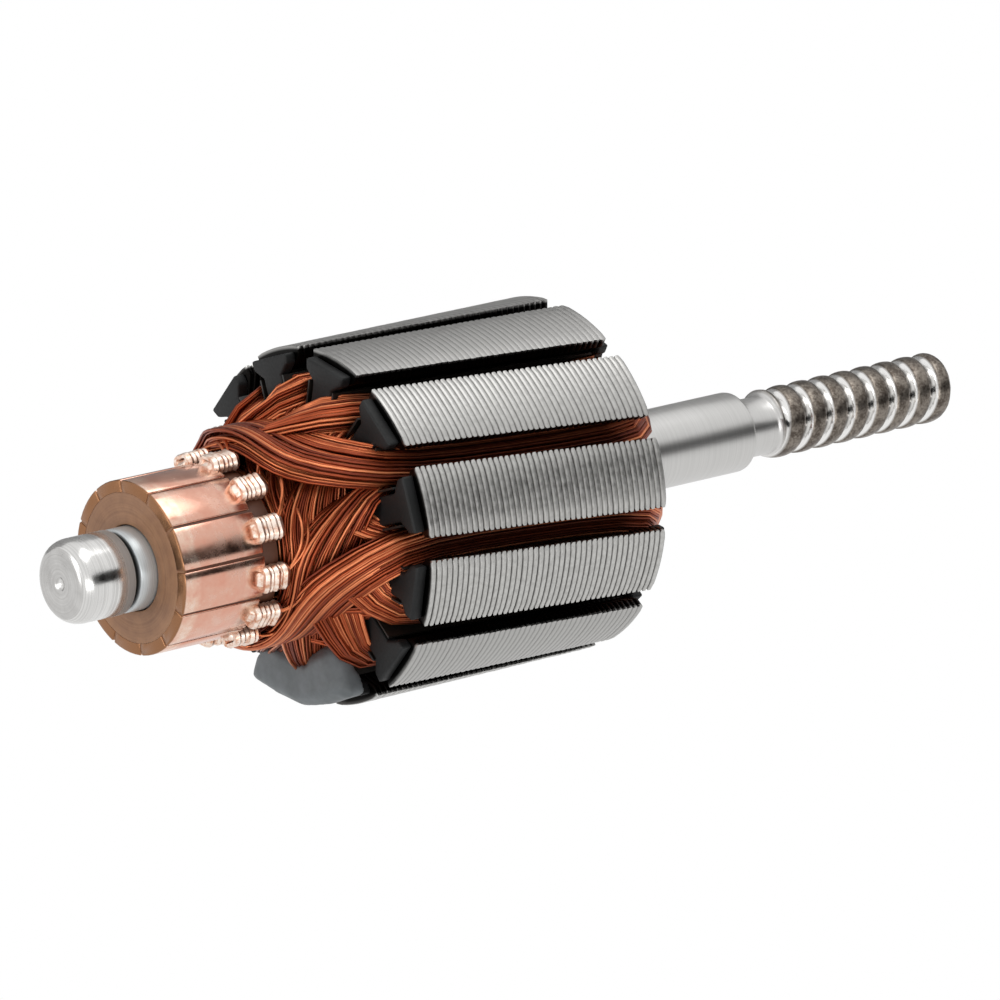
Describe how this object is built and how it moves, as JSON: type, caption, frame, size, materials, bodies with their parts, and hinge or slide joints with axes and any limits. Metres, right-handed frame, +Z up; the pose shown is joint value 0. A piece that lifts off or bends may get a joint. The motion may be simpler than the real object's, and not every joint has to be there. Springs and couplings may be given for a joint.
{
  "type": "motor rotor",
  "caption": "Wound motor rotor: skewed laminated core, enamelled coils, hooked commutator, bearing journals and a left-hand worm on one shaft.",
  "frame": {"origin": "middle of the front bearing journal, on the shaft's axis", "axes": "+X along the shaft from the commutator end towards the worm, +Z up"},
  "size_m": [0.1349, 0.0428, 0.0428],
  "materials": {
    "ground_steel": "turned and ground",
    "lamination_steel": "punched sheet edges, satin",
    "moulded_plastic": "moulded satin",
    "slot_liner": "varnished paper",
    "enamelled_wire": "enamelled copper wire",
    "commutator_copper": "turned copper, worn by brushes",
    "phenolic": "moulded, faced",
    "putty": "smoothed by hand"
  },
  "bodies": {
    "root": {"shaft": "ground_steel", "lamination_stack": "lamination_steel", "end_insulator_front": "moulded_plastic", "end_insulator_rear": "moulded_plastic", "commutator_body": "phenolic", "balancing_putty": "putty", "slot_liner_01": "slot_liner", "slot_liner_02": "slot_liner", "slot_liner_03": "slot_liner", "slot_liner_04": "slot_liner", "slot_liner_05": "slot_liner", "slot_liner_06": "slot_liner", "slot_liner_07": "slot_liner", "slot_liner_08": "slot_liner", "slot_liner_09": "slot_liner", "slot_liner_10": "slot_liner", "slot_liner_11": "slot_liner", "slot_liner_12": "slot_liner", "coil_01": "enamelled_wire", "coil_02": "enamelled_wire", "coil_03": "enamelled_wire", "coil_04": "enamelled_wire", "coil_05": "enamelled_wire", "coil_06": "enamelled_wire", "coil_07": "enamelled_wire", "coil_08": "enamelled_wire", "coil_09": "enamelled_wire", "coil_10": "enamelled_wire", "coil_11": "enamelled_wire", "coil_12": "enamelled_wire", "commutator_bar_01": "commutator_copper", "commutator_bar_02": "commutator_copper", "commutator_bar_03": "commutator_copper", "commutator_bar_04": "commutator_copper", "commutator_bar_05": "commutator_copper", "commutator_bar_06": "commutator_copper", "commutator_bar_07": "commutator_copper", "commutator_bar_08": "commutator_copper", "commutator_bar_09": "commutator_copper", "commutator_bar_10": "commutator_copper", "commutator_bar_11": "commutator_copper", "commutator_bar_12": "commutator_copper"}
  },
  "joints": []
}
